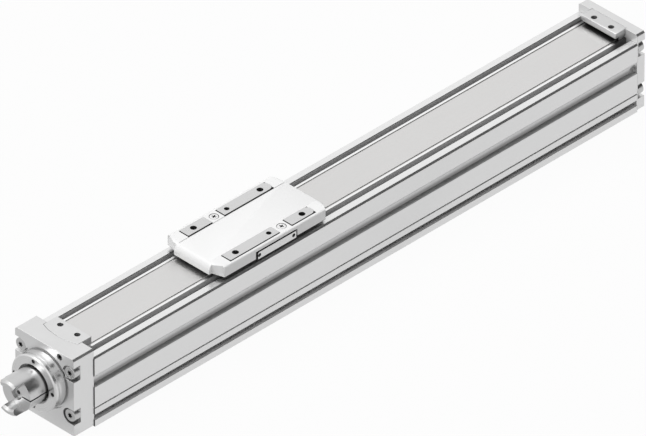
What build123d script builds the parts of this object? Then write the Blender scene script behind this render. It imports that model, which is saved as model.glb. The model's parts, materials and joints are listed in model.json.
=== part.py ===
from build123d import *
import os
from math import cos, radians, sin

# Ball screw linear axis, in millimetres.
# X is across the axis, +Y runs from the drive end to the far end, +Z is up.
# The origin is the middle of the base face, halfway along the profile.

# Travel and overall length
stroke = 400.0
end_reserve = 4.0
rest_travel = 108.8
slide_length = 116.8
clamp_overhang = 9.7
profile_length = stroke + slide_length + 2 * (end_reserve + clamp_overhang)
drive_joint = -profile_length / 2
far_joint = profile_length / 2
slide_middle = drive_joint + clamp_overhang + end_reserve + slide_length / 2 + rest_travel

# Fits and clearances
seat_fit = 0.02
running_fit = 0.05
thread_fit = 0.05
seam = 0.25

# Profile section
profile_width = 60.0
profile_top_chamfer = 1.3
cavity_half = 23.4
cavity_corner = 1.0
clamp_groove_bottom = 5.45
clamp_groove_mouth = 4.9
clamp_groove_lip = 2.0
clamp_groove_depth = 4.6
clamp_groove_undercut = 1.05
marking_groove_middle = 15.75
marking_groove_width = 1.2
marking_groove_depth = 0.8
sensor_slot_bottom = 33.7
sensor_slot_mouth = 3.1
sensor_slot_radius = 2.3
sensor_slot_centre_depth = 3.1
cove_top = 43.8
cove_depth = 1.2
cove_sagitta = 0.7
sensor_entry_radius = 3.2
sensor_entry_height = 39.0
sensor_entry_inset = 3.8
sensor_entry_depth = 3.2

# Screw line and spindle axis
spindle_height = 37.4

# End caps
cap_width = 58.5
cap_bottom = 1.1
cap_above_profile = 7.2
cap_top_chamfer = 1.4
drive_cap_length = 19.6
far_cap_length = 7.8
cap_lip = 1.5
cap_lip_radius = 9.0
recess_ring_radius = 24.0
recess_ring_depth = 1.5
plug_across = 15.2
plug_from_top = 4.0
plug_radius = 2.6
plug_depth = 5.0

# Cap screws, M6
cap_screw_across = 24.5
cap_screw_from_bottom = 15.4
cap_screw_from_top = 13.3
cap_screw_radius = 3.0
cap_screw_head_radius = 5.0
cap_screw_head_length = 5.9
cap_screw_in_profile = 14.0
cap_pocket_radius = 6.15
cap_pocket_depth = 6.6
cap_screw_socket = 2.7

# Bearing flange with its centring collar
collar_radius = 22.5
collar_front = -30.6
flange_seat_radius = 22.0
flange_seat_rear = -9.0
collar_chamfer = 1.0
collar_groove_front = 3.0
collar_groove_width = 1.0
collar_groove_depth = 0.5
flange_spigot_radius = 19.0
flange_mouth_radius = 15.5
flange_lip_radius = 9.5
flange_lip = 2.5
flange_hole_radius = 1.65
flange_hole_circle = 38.0
flange_hole_depth = 8.0

# Fixed bearings, two in a pair, and their nuts
fixed_bearing_bore = 12.0
fixed_bearing_outside = 28.0
fixed_bearing_width = 8.0
fixed_bearing_count = 2
bearing_split_radius = 10.0
retaining_ring_length = 3.5
retaining_ring_bore = 12.0
lock_nut_radius = 9.5
lock_nut_length = 4.5

# Floating bearing and its circlip
floating_bearing_bore = 8.0
floating_bearing_outside = 22.0
floating_bearing_width = 7.0
floating_split_radius = 7.5
far_boss_radius = 15.0
far_boss_length = 10.0
floating_bearing_inset = 0.5
far_pocket_radius = 7.0
far_pocket_depth = 4.0
circlip_radius = 5.6
circlip_width = 0.8
far_journal_end = 2.0

# Spindle
spindle_radius = 8.0
drive_shaft_radius = 5.0
shaft_end_inset = 2.1
centre_hole_radius = 1.6
centre_hole_depth = 3.0

# Coupling hub
hub_radius = 14.0
hub_front = -47.1
hub_length = 22.0
hub_step_from_front = 8.7
hub_step = 0.3
hub_slit = 1.2
claw_length = 9.0
claw_inner_radius = 9.0
claw_from_angle = 60.0
claw_to_angle = 124.0
claw_chamfer = 1.5
hub_screw_across = 9.8
hub_screw_from_front = 16.0
hub_screw_radius = 1.5
hub_screw_head_radius = 2.75
hub_screw_head_length = 3.0
hub_screw_head_height = 5.0
hub_screw_tip = 7.0

# Cover strip, one sheet with folded edges
strip_half = 18.4
strip_thickness = 0.4
strip_flat_half = 15.0
strip_bead_half = 16.5
strip_bead_depth = 0.6
strip_bead_slope = 0.4
strip_lip = 1.5
strip_end_gap = 0.2

# Strip clamps
clamp_half = 17.1
clamp_above_profile = 0.7
clamp_land_half = 14.5
clamp_land_inset = 0.7
drive_clamp_side = 3.5
drive_clamp_middle = 6.7
far_clamp_side = 1.5
clamp_screw_across = 8.5
clamp_screw_from_edge = 5.3
clamp_screw_far_from_edge = 4.2
clamp_screw_radius = 1.25
clamp_screw_head_radius = 2.2
clamp_screw_head_length = 2.5
clamp_screw_head_sunk = 1.6
clamp_screw_in_tongue = 5.0
tongue_thickness = 7.7

# Guide rails
rail_across = 13.5
rail_width = 7.0
rail_height = 5.0
rail_end_gap = 6.0
rail_notch_depth = 0.5
rail_notch_bottom = 1.6
rail_notch_height = 2.0
rail_notch_slope = 0.6
rail_screw_count = 7
rail_screw_end = 16.0
rail_screw_radius = 1.0
rail_screw_head_radius = 1.9
rail_screw_head_length = 1.3
rail_screw_in_floor = 4.0

# Runner blocks
runner_width = 17.0
runner_under_gap = 1.5
runner_top = 8.0
runner_slot_gap = 0.2
runner_from_middle = 28.0
runner_length = 18.0
runner_cap_length = 2.0
runner_cap_inset = 0.3
runner_screw_spacing = 12.0
runner_screw_radius = 1.25
runner_screw_head_radius = 2.25
runner_screw_head_length = 2.0
runner_screw_head_sunk = 0.3
runner_screw_in_block = 2.2

# Carriage
arm_gap = 0.5
carriage_length = 86.0
base_thickness = 4.0
base_half = 22.4
carriage_roof = 2.6
strip_above_carriage = 5.1
base_screw_across = 18.0
base_screw_from_middle = 8.0
base_screw_radius = 2.0
base_screw_head_radius = 3.5
base_screw_head_length = 2.2
base_screw_length = 14.0
bar_width = 9.1
bar_in_cover_gap = 0.4
bar_below_cover = 2.4
pad_above_cover = 0.4
pad_end = 42.3
pad_gap_near = 18.7
pad_gap_far = 6.3
pad_corner = 0.8
pad_end_corner = 4.0
slide_hole_from_bar_side = 4.6
slide_hole_spacing = 66.0
slide_hole_radius = 2.5
slide_hole_depth = 8.0
centring_hole_radius = 2.0
centring_hole_depth = 4.0
magnet_length = 10.0
magnet_height = 4.0
magnet_depth = 2.0

# Ball nut
nut_radius = 14.0
nut_length = 45.0
nut_flange_radius = 22.0
nut_flange_over_nut = 0.5
nut_flange_above_base = 0.9
nut_flange_length = 6.0
nut_screw_across = 16.2
nut_screw_up = 6.6
nut_screw_radius = 1.5
nut_screw_head_radius = 2.75
nut_screw_head_length = 3.0
nut_screw_in_body = 8.0

# Bumpers
bumper_inner_radius = 9.5
bumper_outer_radius = 13.0
bumper_reserve = 3.0

# Slide cover
cover_half = 30.0
cover_above_profile = 3.1
cover_height = 8.6
cover_end_narrower = 10.5
cover_corner_step = 2.5
cover_corner_run = 4.5
cover_end_radius = 6.0
cover_side_radius = 1.2
cover_middle_from_bar = 0.7
cover_middle_depth = 0.4
cover_middle_end = 3.4
cover_side_wall = 4.0
cover_end_wall = 6.4
cover_screw_from_middle = 12.7
cover_screw_radius = 1.5
cover_screw_head_radius = 3.3
cover_screw_head_length = 1.4
cover_screw_depth = 6.0

# Side plates
side_plate_length = 42.0
side_plate_below_cover = 1.2
side_plate_height = 7.0
side_plate_thickness = 2.0
side_plate_corner = 2.0
side_plate_screw_spacing = 34.8
side_plate_screw_up = 4.0
side_plate_screw_radius = 1.0
side_plate_screw_head_radius = 1.7
side_plate_screw_head_length = 1.2
side_plate_screw_depth = 4.0

# Strip wipers
wiper_half = 16.0
wiper_thickness = 3.0
wiper_gap = 0.3


# Shapes used all over

def rect(x0, x1, y0, y1):
    return Pos((x0 + x1) / 2, (y0 + y1) / 2) * Rectangle(x1 - x0, y1 - y0)


def block(x0, x1, y0, y1, z0, z1):
    middle = Pos((x0 + x1) / 2, (y0 + y1) / 2, (z0 + z1) / 2)
    return middle * Box(x1 - x0, y1 - y0, z1 - z0)


def along_y(section, start, end):
    """Extrudes a section drawn in X and Z from one Y to another."""
    plane = Plane(origin=(0, start, 0), x_dir=(1, 0, 0), z_dir=(0, -1, 0))
    return extrude(plane * section, amount=end - start, dir=(0, 1, 0))


def rod_y(radius, start, end, x=0.0, z=0.0):
    return along_y(Pos(x, z) * Circle(radius), start, end)


def tube_y(outer, inner, start, end, z):
    return along_y(Pos(0, z) * (Circle(outer) - Circle(inner)), start, end)


def rod_z(radius, bottom, top, x, y):
    return Pos(x, y, (bottom + top) / 2) * Cylinder(radius, top - bottom)


def rod_x(radius, start, end, y, z):
    return Pos((start + end) / 2, y, z) * Rot(0, 90, 0) * Cylinder(radius, abs(end - start))


def other_side(shape):
    return mirror(shape, about=Plane.YZ)


def both_sides(shape):
    return shape + other_side(shape)


def hex_socket(size):
    return RegularPolygon(size, 6)


# Where the layers lie: the spindle's height sets the floor below it and all that is above it

nut_flange_half_height = nut_radius + nut_flange_over_nut
base_top = spindle_height - nut_flange_half_height - nut_flange_above_base
runner_block_top = base_top - base_thickness
floor_top = runner_block_top - runner_top
rail_top = floor_top + rail_height
carriage_top = spindle_height + nut_radius + carriage_roof
profile_height = carriage_top + strip_above_carriage
cap_top = profile_height + cap_above_profile
clamp_underside = profile_height + clamp_above_profile
plug_place = (plug_across, cap_top - plug_from_top)
cap_screw_heights = (cap_bottom + cap_screw_from_bottom, cap_top - cap_screw_from_top)
cover_bottom = profile_height + cover_above_profile
cover_top = cover_bottom + cover_height
bar_bottom = cover_bottom
bar_top = cover_top - bar_below_cover
pad_top = cover_top + pad_above_cover
side_plate_bottom = cover_bottom - side_plate_below_cover
side_plate_screw_height = side_plate_bottom + side_plate_screw_up

# Where the pieces of the slide lie across the axis

bar_outer = cover_half - cover_side_wall - bar_in_cover_gap
bar_inner = bar_outer - bar_width
slide_hole_across = bar_outer - slide_hole_from_bar_side
cover_middle_half = bar_inner - cover_middle_from_bar
cover_end_half = cover_half - cover_end_narrower
carriage_half = cavity_half - arm_gap
arm_inner = strip_half + arm_gap
strip_top = profile_height
drive_face = drive_joint - drive_cap_length
far_face = far_joint + far_cap_length
carriage_drive_end = slide_middle - carriage_length / 2
carriage_far_end = slide_middle + carriage_length / 2
least_travel = -rest_travel
most_travel = stroke - rest_travel


def drive_side(distance):
    """Turns a distance from the drive joint into Y."""
    return drive_joint + distance


# Frame

def side_grooves():
    """The cuts in the +X flank of the profile."""
    wall = profile_width / 2
    mouth_top = clamp_groove_bottom + clamp_groove_mouth
    cut = rect(wall - clamp_groove_depth, wall, clamp_groove_bottom, mouth_top)
    cut += rect(
        wall - clamp_groove_depth,
        wall - clamp_groove_lip,
        clamp_groove_bottom - clamp_groove_undercut,
        mouth_top + clamp_groove_undercut,
    )
    half_mark = marking_groove_width / 2
    cut += rect(
        wall - marking_groove_depth,
        wall,
        marking_groove_middle - half_mark,
        marking_groove_middle + half_mark,
    )
    mouth_top = sensor_slot_bottom + sensor_slot_mouth
    slot_middle = sensor_slot_bottom + sensor_slot_mouth / 2
    cut += rect(wall - sensor_slot_centre_depth, wall, sensor_slot_bottom, mouth_top)
    cut += Pos(wall - sensor_slot_centre_depth, slot_middle) * Circle(sensor_slot_radius)
    cove_foot = (wall - cove_depth, mouth_top)
    cove = SagittaArc((wall, cove_top), cove_foot, -cove_sagitta)
    cut += make_face(cove + Polyline(cove_foot, (wall, mouth_top), (wall, cove_top)))
    return cut


def profile_section():
    shape = rect(-profile_width / 2, profile_width / 2, 0, profile_height)
    shape = chamfer(shape.vertices().group_by(Axis.Y)[-1], profile_top_chamfer)
    hollow = rect(-cavity_half, cavity_half, floor_top, profile_height + 1)
    hollow = fillet(hollow.vertices().group_by(Axis.Y)[0], cavity_corner)
    return shape - hollow - both_sides(side_grooves())


def cap_screw_places():
    return [(side * cap_screw_across, z) for side in (-1, 1) for z in cap_screw_heights]


def rail_screw_stations():
    first = drive_joint + rail_end_gap + rail_screw_end
    last = far_joint - rail_end_gap - rail_screw_end
    step = (last - first) / (rail_screw_count - 1)
    return [first + step * number for number in range(rail_screw_count)]


def profile_extrusion():
    body = along_y(profile_section(), drive_joint, far_joint)
    hole = cap_screw_radius + thread_fit
    depth = cap_screw_in_profile + 1
    for x, z in cap_screw_places():
        body -= rod_y(hole, drive_joint, drive_joint + depth, x, z)
        body -= rod_y(hole, far_joint - depth, far_joint, x, z)
    floor_hole = floor_top - rail_screw_in_floor - 0.5
    for y in rail_screw_stations():
        for x in (-rail_across, rail_across):
            body -= rod_z(rail_screw_radius + thread_fit, floor_hole, floor_top, x, y)
    entry_y = far_joint - sensor_entry_inset
    wall = profile_width / 2
    for side in (-1, 1):
        inner = side * (wall - sensor_entry_depth)
        body -= rod_x(sensor_entry_radius, inner, side * wall, entry_y, sensor_entry_height)
    return body


def cap_blank(start, end):
    shape = rect(-cap_width / 2, cap_width / 2, cap_bottom, cap_top)
    shape = chamfer(shape.vertices().group_by(Axis.Y)[-1], cap_top_chamfer)
    return along_y(shape, start, end)


def cap_pockets(face, inward):
    """Screw pockets open to the side, cut from the outer face inward."""
    cut = None
    floor = face + inward * cap_pocket_depth
    start, end = sorted((face, floor))
    for x, z in cap_screw_places():
        side = 1 if x > 0 else -1
        edge = side * cap_width / 2
        opening = Pos(x, z) * Circle(cap_pocket_radius)
        left, right = sorted((x, edge))
        opening += rect(left, right, z - cap_pocket_radius, z + cap_pocket_radius)
        pocket = along_y(opening, start, end)
        cut = pocket if cut is None else cut + pocket
    return cut


def cap_screw_holes(start, end):
    hole = cap_screw_radius + thread_fit
    cut = None
    for x, z in cap_screw_places():
        drilled = rod_y(hole, start, end, x, z)
        cut = drilled if cut is None else cut + drilled
    return cut


def clamp_arc_radius():
    rise = drive_clamp_middle - drive_clamp_side
    return (clamp_half * clamp_half + rise * rise) / (2 * rise)


def drive_clamp_outline(grow):
    """The clamp seen from above, with its curved front edge."""
    half = clamp_half + grow
    side_y = drive_joint - drive_clamp_side - grow
    middle_y = drive_joint - drive_clamp_middle - grow
    rear_y = drive_joint + clamp_overhang
    front = ThreePointArc((-half, side_y), (0, middle_y), (half, side_y))
    rest = Polyline((half, side_y), (half, rear_y), (-half, rear_y), (-half, side_y))
    return make_face(front + rest)


def upright(outline, bottom, top):
    return extrude(Pos(0, 0, bottom) * outline, amount=top - bottom)


def clamp_screw_places(end):
    if end == "drive":
        y = drive_joint + clamp_overhang - clamp_screw_from_edge
    else:
        y = far_joint - clamp_overhang + clamp_screw_far_from_edge
    return [(-clamp_screw_across, y), (clamp_screw_across, y)]


def tongue(end):
    """The shelf of the cap that the strip is clamped to."""
    if end == "drive":
        start, stop = drive_joint, drive_joint + clamp_overhang
    else:
        start, stop = far_joint - clamp_overhang, far_joint
    shelf_top = strip_top - strip_thickness
    shelf_bottom = shelf_top - tongue_thickness
    shelf = block(-clamp_land_half, clamp_land_half, start, stop, shelf_bottom, shelf_top)
    hole_bottom = shelf_top - clamp_screw_in_tongue - 0.5
    for x, y in clamp_screw_places(end):
        shelf -= rod_z(clamp_screw_radius + thread_fit, hole_bottom, shelf_top, x, y)
    return shelf


def drive_end_cap():
    cap = cap_blank(drive_face, drive_joint)
    cap -= cap_pockets(drive_face, 1)
    cap -= cap_screw_holes(drive_face, drive_joint)
    lip_face = drive_joint - cap_lip
    step = drive_side(flange_seat_rear)
    cap -= rod_y(flange_seat_radius + seat_fit, drive_face, step, 0, spindle_height)
    cap -= rod_y(flange_spigot_radius + seat_fit, step, lip_face, 0, spindle_height)
    cap -= rod_y(cap_lip_radius, lip_face, drive_joint, 0, spindle_height)
    ring_end = drive_face + recess_ring_depth
    cap -= rod_y(recess_ring_radius, drive_face, ring_end, 0, spindle_height)
    cap -= upright(drive_clamp_outline(seam), clamp_underside, cap_top + 1)
    cap -= rod_y(plug_radius, drive_face, drive_face + plug_depth, *plug_place)
    return cap + tongue("drive")


def far_end_cap():
    cap = cap_blank(far_joint, far_face)
    cap -= cap_pockets(far_face, -1)
    cap -= cap_screw_holes(far_joint, far_face)
    boss_face = far_joint - far_boss_length
    cap += rod_y(far_boss_radius, boss_face, far_joint, 0, spindle_height)
    seat_end = boss_face + floating_bearing_inset + floating_bearing_width
    seat_radius = floating_bearing_outside / 2 + seat_fit
    cap -= rod_y(seat_radius, boss_face, seat_end, 0, spindle_height)
    pocket_end = seat_end + far_pocket_depth
    cap -= rod_y(far_pocket_radius, seat_end, pocket_end, 0, spindle_height)
    notch_half = clamp_half + seam
    notch_end = far_joint + far_clamp_side + seam
    cap -= block(-notch_half, notch_half, far_joint, notch_end, clamp_underside, cap_top)
    return cap + tongue("far")


def flange_hole_places():
    reach = flange_hole_circle / 2
    angles = [radians(90 * number) for number in range(4)]
    return [(reach * cos(a), spindle_height + reach * sin(a)) for a in angles]


def bearing_flange():
    front = drive_side(collar_front)
    collar_rear = drive_face + recess_ring_depth
    step = drive_side(flange_seat_rear)
    rear = drive_joint - cap_lip
    body = rod_y(collar_radius, front, collar_rear, 0, spindle_height)
    body = chamfer(body.edges().group_by(Axis.Y)[0], collar_chamfer)
    body += rod_y(flange_seat_radius, collar_rear, step, 0, spindle_height)
    body += rod_y(flange_spigot_radius, step, rear, 0, spindle_height)
    groove_start = front + collar_groove_front
    groove_end = groove_start + collar_groove_width
    groove_floor = collar_radius - collar_groove_depth
    body -= tube_y(collar_radius + 1, groove_floor, groove_start, groove_end, spindle_height)
    seat_end = rear - flange_lip
    seat_start = seat_end - fixed_bearing_count * fixed_bearing_width
    body -= rod_y(flange_mouth_radius, front, seat_start, 0, spindle_height)
    seat_radius = fixed_bearing_outside / 2 + seat_fit
    body -= rod_y(seat_radius, seat_start, seat_end, 0, spindle_height)
    body -= rod_y(flange_lip_radius, seat_end, rear, 0, spindle_height)
    for x, z in flange_hole_places():
        body -= rod_y(flange_hole_radius, front, front + flange_hole_depth, x, z)
    return body


bearing_seat_end = drive_joint - cap_lip - flange_lip
bearing_seat_start = bearing_seat_end - fixed_bearing_count * fixed_bearing_width
floating_start = far_joint - far_boss_length + floating_bearing_inset
floating_end = floating_start + floating_bearing_width


def fixed_bearing_stations():
    return [bearing_seat_start + n * fixed_bearing_width for n in range(fixed_bearing_count)]


def fixed_bearing_outer_rings():
    outer = fixed_bearing_outside / 2
    inner = bearing_split_radius + running_fit
    return [
        tube_y(outer, inner, start, start + fixed_bearing_width, spindle_height)
        for start in fixed_bearing_stations()
    ]


def bearing_retaining_ring():
    outer = flange_mouth_radius - thread_fit
    start = bearing_seat_start - retaining_ring_length
    return tube_y(outer, retaining_ring_bore, start, bearing_seat_start, spindle_height)


def floating_bearing_outer_ring():
    outer = floating_bearing_outside / 2
    inner = floating_split_radius + running_fit
    return tube_y(outer, inner, floating_start, floating_end, spindle_height)


def half_strip_top(side):
    """Points of the strip's upper face, from the middle outward."""
    bead_floor = strip_top - strip_bead_depth
    return [
        (side * strip_flat_half, strip_top),
        (side * (strip_flat_half + strip_bead_slope), bead_floor),
        (side * (strip_bead_half - strip_bead_slope), bead_floor),
        (side * strip_bead_half, strip_top),
        (side * strip_half, strip_top),
        (side * strip_half, strip_top - strip_lip),
    ]


def half_strip_bottom(side):
    """Points of the strip's lower face, from the outside inward."""
    under = strip_top - strip_thickness
    bead_under = under - strip_bead_depth
    inner_edge = strip_half - strip_thickness
    shift = strip_thickness / 2
    return [
        (side * inner_edge, strip_top - strip_lip),
        (side * inner_edge, under),
        (side * (strip_bead_half + shift), under),
        (side * (strip_bead_half - strip_bead_slope + shift), bead_under),
        (side * (strip_flat_half + strip_bead_slope - shift), bead_under),
        (side * (strip_flat_half - shift), under),
    ]


def cover_strip():
    right = half_strip_top(1) + half_strip_bottom(1)
    left = half_strip_top(-1) + half_strip_bottom(-1)
    points = right + left[::-1]
    section = make_face(Polyline(*points, close=True))
    strip = along_y(section, drive_joint + strip_end_gap, far_joint - strip_end_gap)
    hole = clamp_screw_radius + thread_fit
    for end in ("drive", "far"):
        for x, y in clamp_screw_places(end):
            strip -= rod_z(hole, strip_top - 1, strip_top + 1, x, y)
    return strip


def clamp_holes(end):
    cut = None
    head_seat = cap_top - clamp_screw_head_sunk - clamp_screw_head_length
    for x, y in clamp_screw_places(end):
        shank = rod_z(clamp_screw_radius + thread_fit, strip_top, head_seat, x, y)
        head = rod_z(clamp_screw_head_radius + 0.1, head_seat, cap_top, x, y)
        cut = shank + head if cut is None else cut + shank + head
    return cut


def drive_strip_clamp():
    body = upright(drive_clamp_outline(0), clamp_underside, cap_top)
    start = drive_joint + strip_end_gap
    end = drive_joint + clamp_overhang - clamp_land_inset
    body += block(-clamp_land_half, clamp_land_half, start, end, strip_top, clamp_underside)
    return body - clamp_holes("drive")


def far_strip_clamp():
    front = far_joint - clamp_overhang
    rear = far_joint + far_clamp_side
    body = block(-clamp_half, clamp_half, front, rear, clamp_underside, cap_top)
    start = front + clamp_land_inset
    end = far_joint - strip_end_gap
    body += block(-clamp_land_half, clamp_land_half, start, end, strip_top, clamp_underside)
    return body - clamp_holes("far")


def clamp_screws(end):
    head_top = cap_top - clamp_screw_head_sunk
    head_seat = head_top - clamp_screw_head_length
    tip = strip_top - strip_thickness - clamp_screw_in_tongue
    screws = []
    for x, y in clamp_screw_places(end):
        screw = rod_z(clamp_screw_head_radius, head_seat, head_top, x, y)
        screw += rod_z(clamp_screw_radius, tip, head_seat, x, y)
        socket = Pos(x, y, head_top) * hex_socket(1.1)
        screws.append(screw - extrude(socket, amount=-1.2))
    return screws


def cap_screws(face, inward):
    """Socket head screws; inward is +1 at the drive end and -1 at the far end."""
    seat = face + inward * cap_pocket_depth
    head_top = seat - inward * cap_screw_head_length
    joint = drive_joint if inward > 0 else far_joint
    tip = joint + inward * cap_screw_in_profile
    socket_end = head_top + inward * 3
    screws = []
    for x, z in cap_screw_places():
        screw = rod_y(cap_screw_head_radius, *sorted((head_top, seat)), x, z)
        screw += rod_y(cap_screw_radius, *sorted((seat, tip)), x, z)
        socket = Pos(x, z) * hex_socket(cap_screw_socket)
        screws.append(screw - along_y(socket, *sorted((head_top, socket_end))))
    return screws


def cap_plug_screw():
    x, z = plug_place
    plug = rod_y(plug_radius - seat_fit, drive_face + 0.4, drive_face + plug_depth, x, z)
    socket = Pos(x, z) * hex_socket(1.4)
    return plug - along_y(socket, drive_face + 0.4, drive_face + 2.4)


def rail_section(x):
    half = rail_width / 2
    right = [
        (half, 0),
        (half, rail_notch_bottom),
        (half - rail_notch_depth, rail_notch_bottom + rail_notch_slope),
        (half - rail_notch_depth, rail_notch_bottom + rail_notch_height - rail_notch_slope),
        (half, rail_notch_bottom + rail_notch_height),
        (half, rail_height),
    ]
    left = [(-px, pz) for px, pz in right[::-1]]
    return Pos(x, floor_top) * make_face(Polyline(*right, *left, close=True))


def guide_rail(x):
    rail = along_y(rail_section(x), drive_joint + rail_end_gap, far_joint - rail_end_gap)
    seat = rail_top - rail_screw_head_length - 0.2
    for y in rail_screw_stations():
        rail -= rod_z(rail_screw_radius + thread_fit, floor_top, seat, x, y)
        rail -= rod_z(rail_screw_head_radius + 0.1, seat, rail_top, x, y)
    return rail


def guide_rail_screws():
    seat = rail_top - rail_screw_head_length - 0.2
    screws = []
    for x in (-rail_across, rail_across):
        for y in rail_screw_stations():
            head = rod_z(rail_screw_head_radius, seat, seat + rail_screw_head_length, x, y)
            shank = rod_z(rail_screw_radius, floor_top - rail_screw_in_floor, seat, x, y)
            screws.append(head + shank)
    return screws


def bumper(start, end):
    return tube_y(bumper_outer_radius, bumper_inner_radius, start, end, spindle_height)


def drive_bumper():
    nut_face = carriage_drive_end - nut_flange_length + least_travel
    return bumper(drive_joint, nut_face - bumper_reserve)


def far_bumper():
    return bumper(carriage_far_end + most_travel + bumper_reserve, far_joint - far_boss_length)


# Spindle

def ball_screw_spindle():
    shaft_end = drive_side(hub_front) + shaft_end_inset
    hub_rear = drive_side(hub_front) + hub_length
    body = rod_y(drive_shaft_radius, shaft_end, hub_rear, 0, spindle_height)
    body = chamfer(body.edges().group_by(Axis.Y)[0], 0.5)
    journal = fixed_bearing_bore / 2
    body += rod_y(journal, hub_rear, bearing_seat_end, 0, spindle_height)
    body += rod_y(spindle_radius, bearing_seat_end, floating_start, 0, spindle_height)
    far_end = far_joint - far_journal_end + 1
    far_journal = floating_bearing_bore / 2
    body += rod_y(far_journal, floating_start, far_end, 0, spindle_height)
    centre_end = shaft_end + centre_hole_depth
    body -= rod_y(centre_hole_radius, shaft_end, centre_end, 0, spindle_height)
    return body


def claw(from_angle, to_angle):
    """One claw of the hub: a ring sector with a bevelled tip."""
    front = drive_side(hub_front) - claw_length
    rear = drive_side(hub_front)
    ring = tube_y(hub_radius, claw_inner_radius, front, rear, spindle_height)
    ring = chamfer(ring.edges().group_by(Axis.Y)[0], claw_chamfer)
    far_out = 2 * hub_radius
    half_angle = radians(to_angle - from_angle) / 2
    middle_angle = (from_angle + to_angle) / 2
    wedge = Polygon(
        (0, 0),
        (far_out * cos(half_angle), -far_out * sin(half_angle)),
        (far_out * cos(half_angle), far_out * sin(half_angle)),
        align=None,
    )
    wedge = Pos(0, spindle_height) * Rot(0, 0, middle_angle) * wedge
    return ring & along_y(wedge, front, rear)


def coupling_hub():
    front = drive_side(hub_front)
    rear = front + hub_length
    step_at = front + hub_step_from_front
    body = rod_y(hub_radius, front, step_at, 0, spindle_height)
    body += rod_y(hub_radius - hub_step, step_at, rear, 0, spindle_height)
    body += claw(claw_from_angle, claw_to_angle)
    body += claw(claw_from_angle + 180, claw_to_angle + 180)
    body -= rod_y(drive_shaft_radius + seat_fit, front, rear, 0, spindle_height)
    slit_z = spindle_height - hub_slit / 2
    body -= block(0, hub_radius + 1, front, rear, slit_z, slit_z + hub_slit)
    x, y = hub_screw_across, front + hub_screw_from_front
    head_seat = spindle_height - hub_screw_head_height
    tip = spindle_height + hub_screw_tip + 0.5
    body -= rod_z(hub_screw_radius + thread_fit, head_seat, tip, x, y)
    body -= rod_z(hub_screw_head_radius + 0.15, head_seat - hub_radius, head_seat, x, y)
    return body


def hub_clamp_screw():
    x, y = hub_screw_across, drive_side(hub_front) + hub_screw_from_front
    head_seat = spindle_height - hub_screw_head_height
    head_end = head_seat - hub_screw_head_length
    screw = rod_z(hub_screw_head_radius, head_end, head_seat, x, y)
    screw += rod_z(hub_screw_radius, head_seat, spindle_height + hub_screw_tip, x, y)
    socket = Pos(x, y, head_end) * hex_socket(1.4)
    return screw - extrude(socket, amount=1.5)


def fixed_bearing_inner_rings():
    inner = fixed_bearing_bore / 2 + seat_fit
    return [
        tube_y(bearing_split_radius, inner, start, start + fixed_bearing_width, spindle_height)
        for start in fixed_bearing_stations()
    ]


def fixed_bearing_lock_nut():
    inner = fixed_bearing_bore / 2 + thread_fit
    start = bearing_seat_start - lock_nut_length
    return tube_y(lock_nut_radius, inner, start, bearing_seat_start, spindle_height)


def floating_bearing_inner_ring():
    inner = floating_bearing_bore / 2 + seat_fit
    return tube_y(floating_split_radius, inner, floating_start, floating_end, spindle_height)


def floating_bearing_circlip():
    inner = floating_bearing_bore / 2 + seat_fit
    end = floating_end + circlip_width
    return tube_y(circlip_radius, inner, floating_end, end, spindle_height)


# Carriage

def pads():
    """Raised pads as (side, start, end) from the middle of the slide."""
    return [
        (-1, -pad_end, -pad_gap_near),
        (-1, -pad_gap_far, pad_end),
        (1, -pad_end, pad_gap_far),
        (1, pad_gap_near, pad_end),
    ]


def pad_outline(side, start, end, grow):
    left, right = sorted((side * bar_inner, side * bar_outer))
    outline = rect(left - grow, right + grow, start - grow, end + grow)
    outline = fillet(outline.vertices().group_by(Axis.Y)[0], pad_corner + grow)
    far_corner = pad_end_corner if end == pad_end else pad_corner
    outline = fillet(outline.vertices().group_by(Axis.Y)[-1], far_corner + grow)
    return Pos(0, slide_middle) * outline


def slide_hole_places():
    half = slide_hole_spacing / 2
    sides = (-slide_hole_across, slide_hole_across)
    return [(x, slide_middle + y) for x in sides for y in (-half, half)]


def cover_screw_places():
    return [
        (-slide_hole_across, slide_middle - cover_screw_from_middle),
        (slide_hole_across, slide_middle + cover_screw_from_middle),
    ]


def side_plate_screw_stations():
    half = side_plate_screw_spacing / 2
    return [slide_middle - half, slide_middle + half]


def nut_screw_places():
    ups = (spindle_height - nut_screw_up, spindle_height + nut_screw_up)
    return [(x, z) for x in (-nut_screw_across, nut_screw_across) for z in ups]


def base_screw_places():
    steps = (-base_screw_from_middle, base_screw_from_middle)
    sides = (-base_screw_across, base_screw_across)
    return [(x, slide_middle + step) for x in sides for step in steps]


def carriage_section():
    shape = rect(-carriage_half, carriage_half, base_top, carriage_top)
    shape -= Pos(0, spindle_height) * Circle(nut_radius)
    shape += both_sides(rect(arm_inner, carriage_half, carriage_top, bar_bottom))
    shape += both_sides(rect(bar_inner, bar_outer, bar_bottom, bar_top))
    return shape


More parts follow.
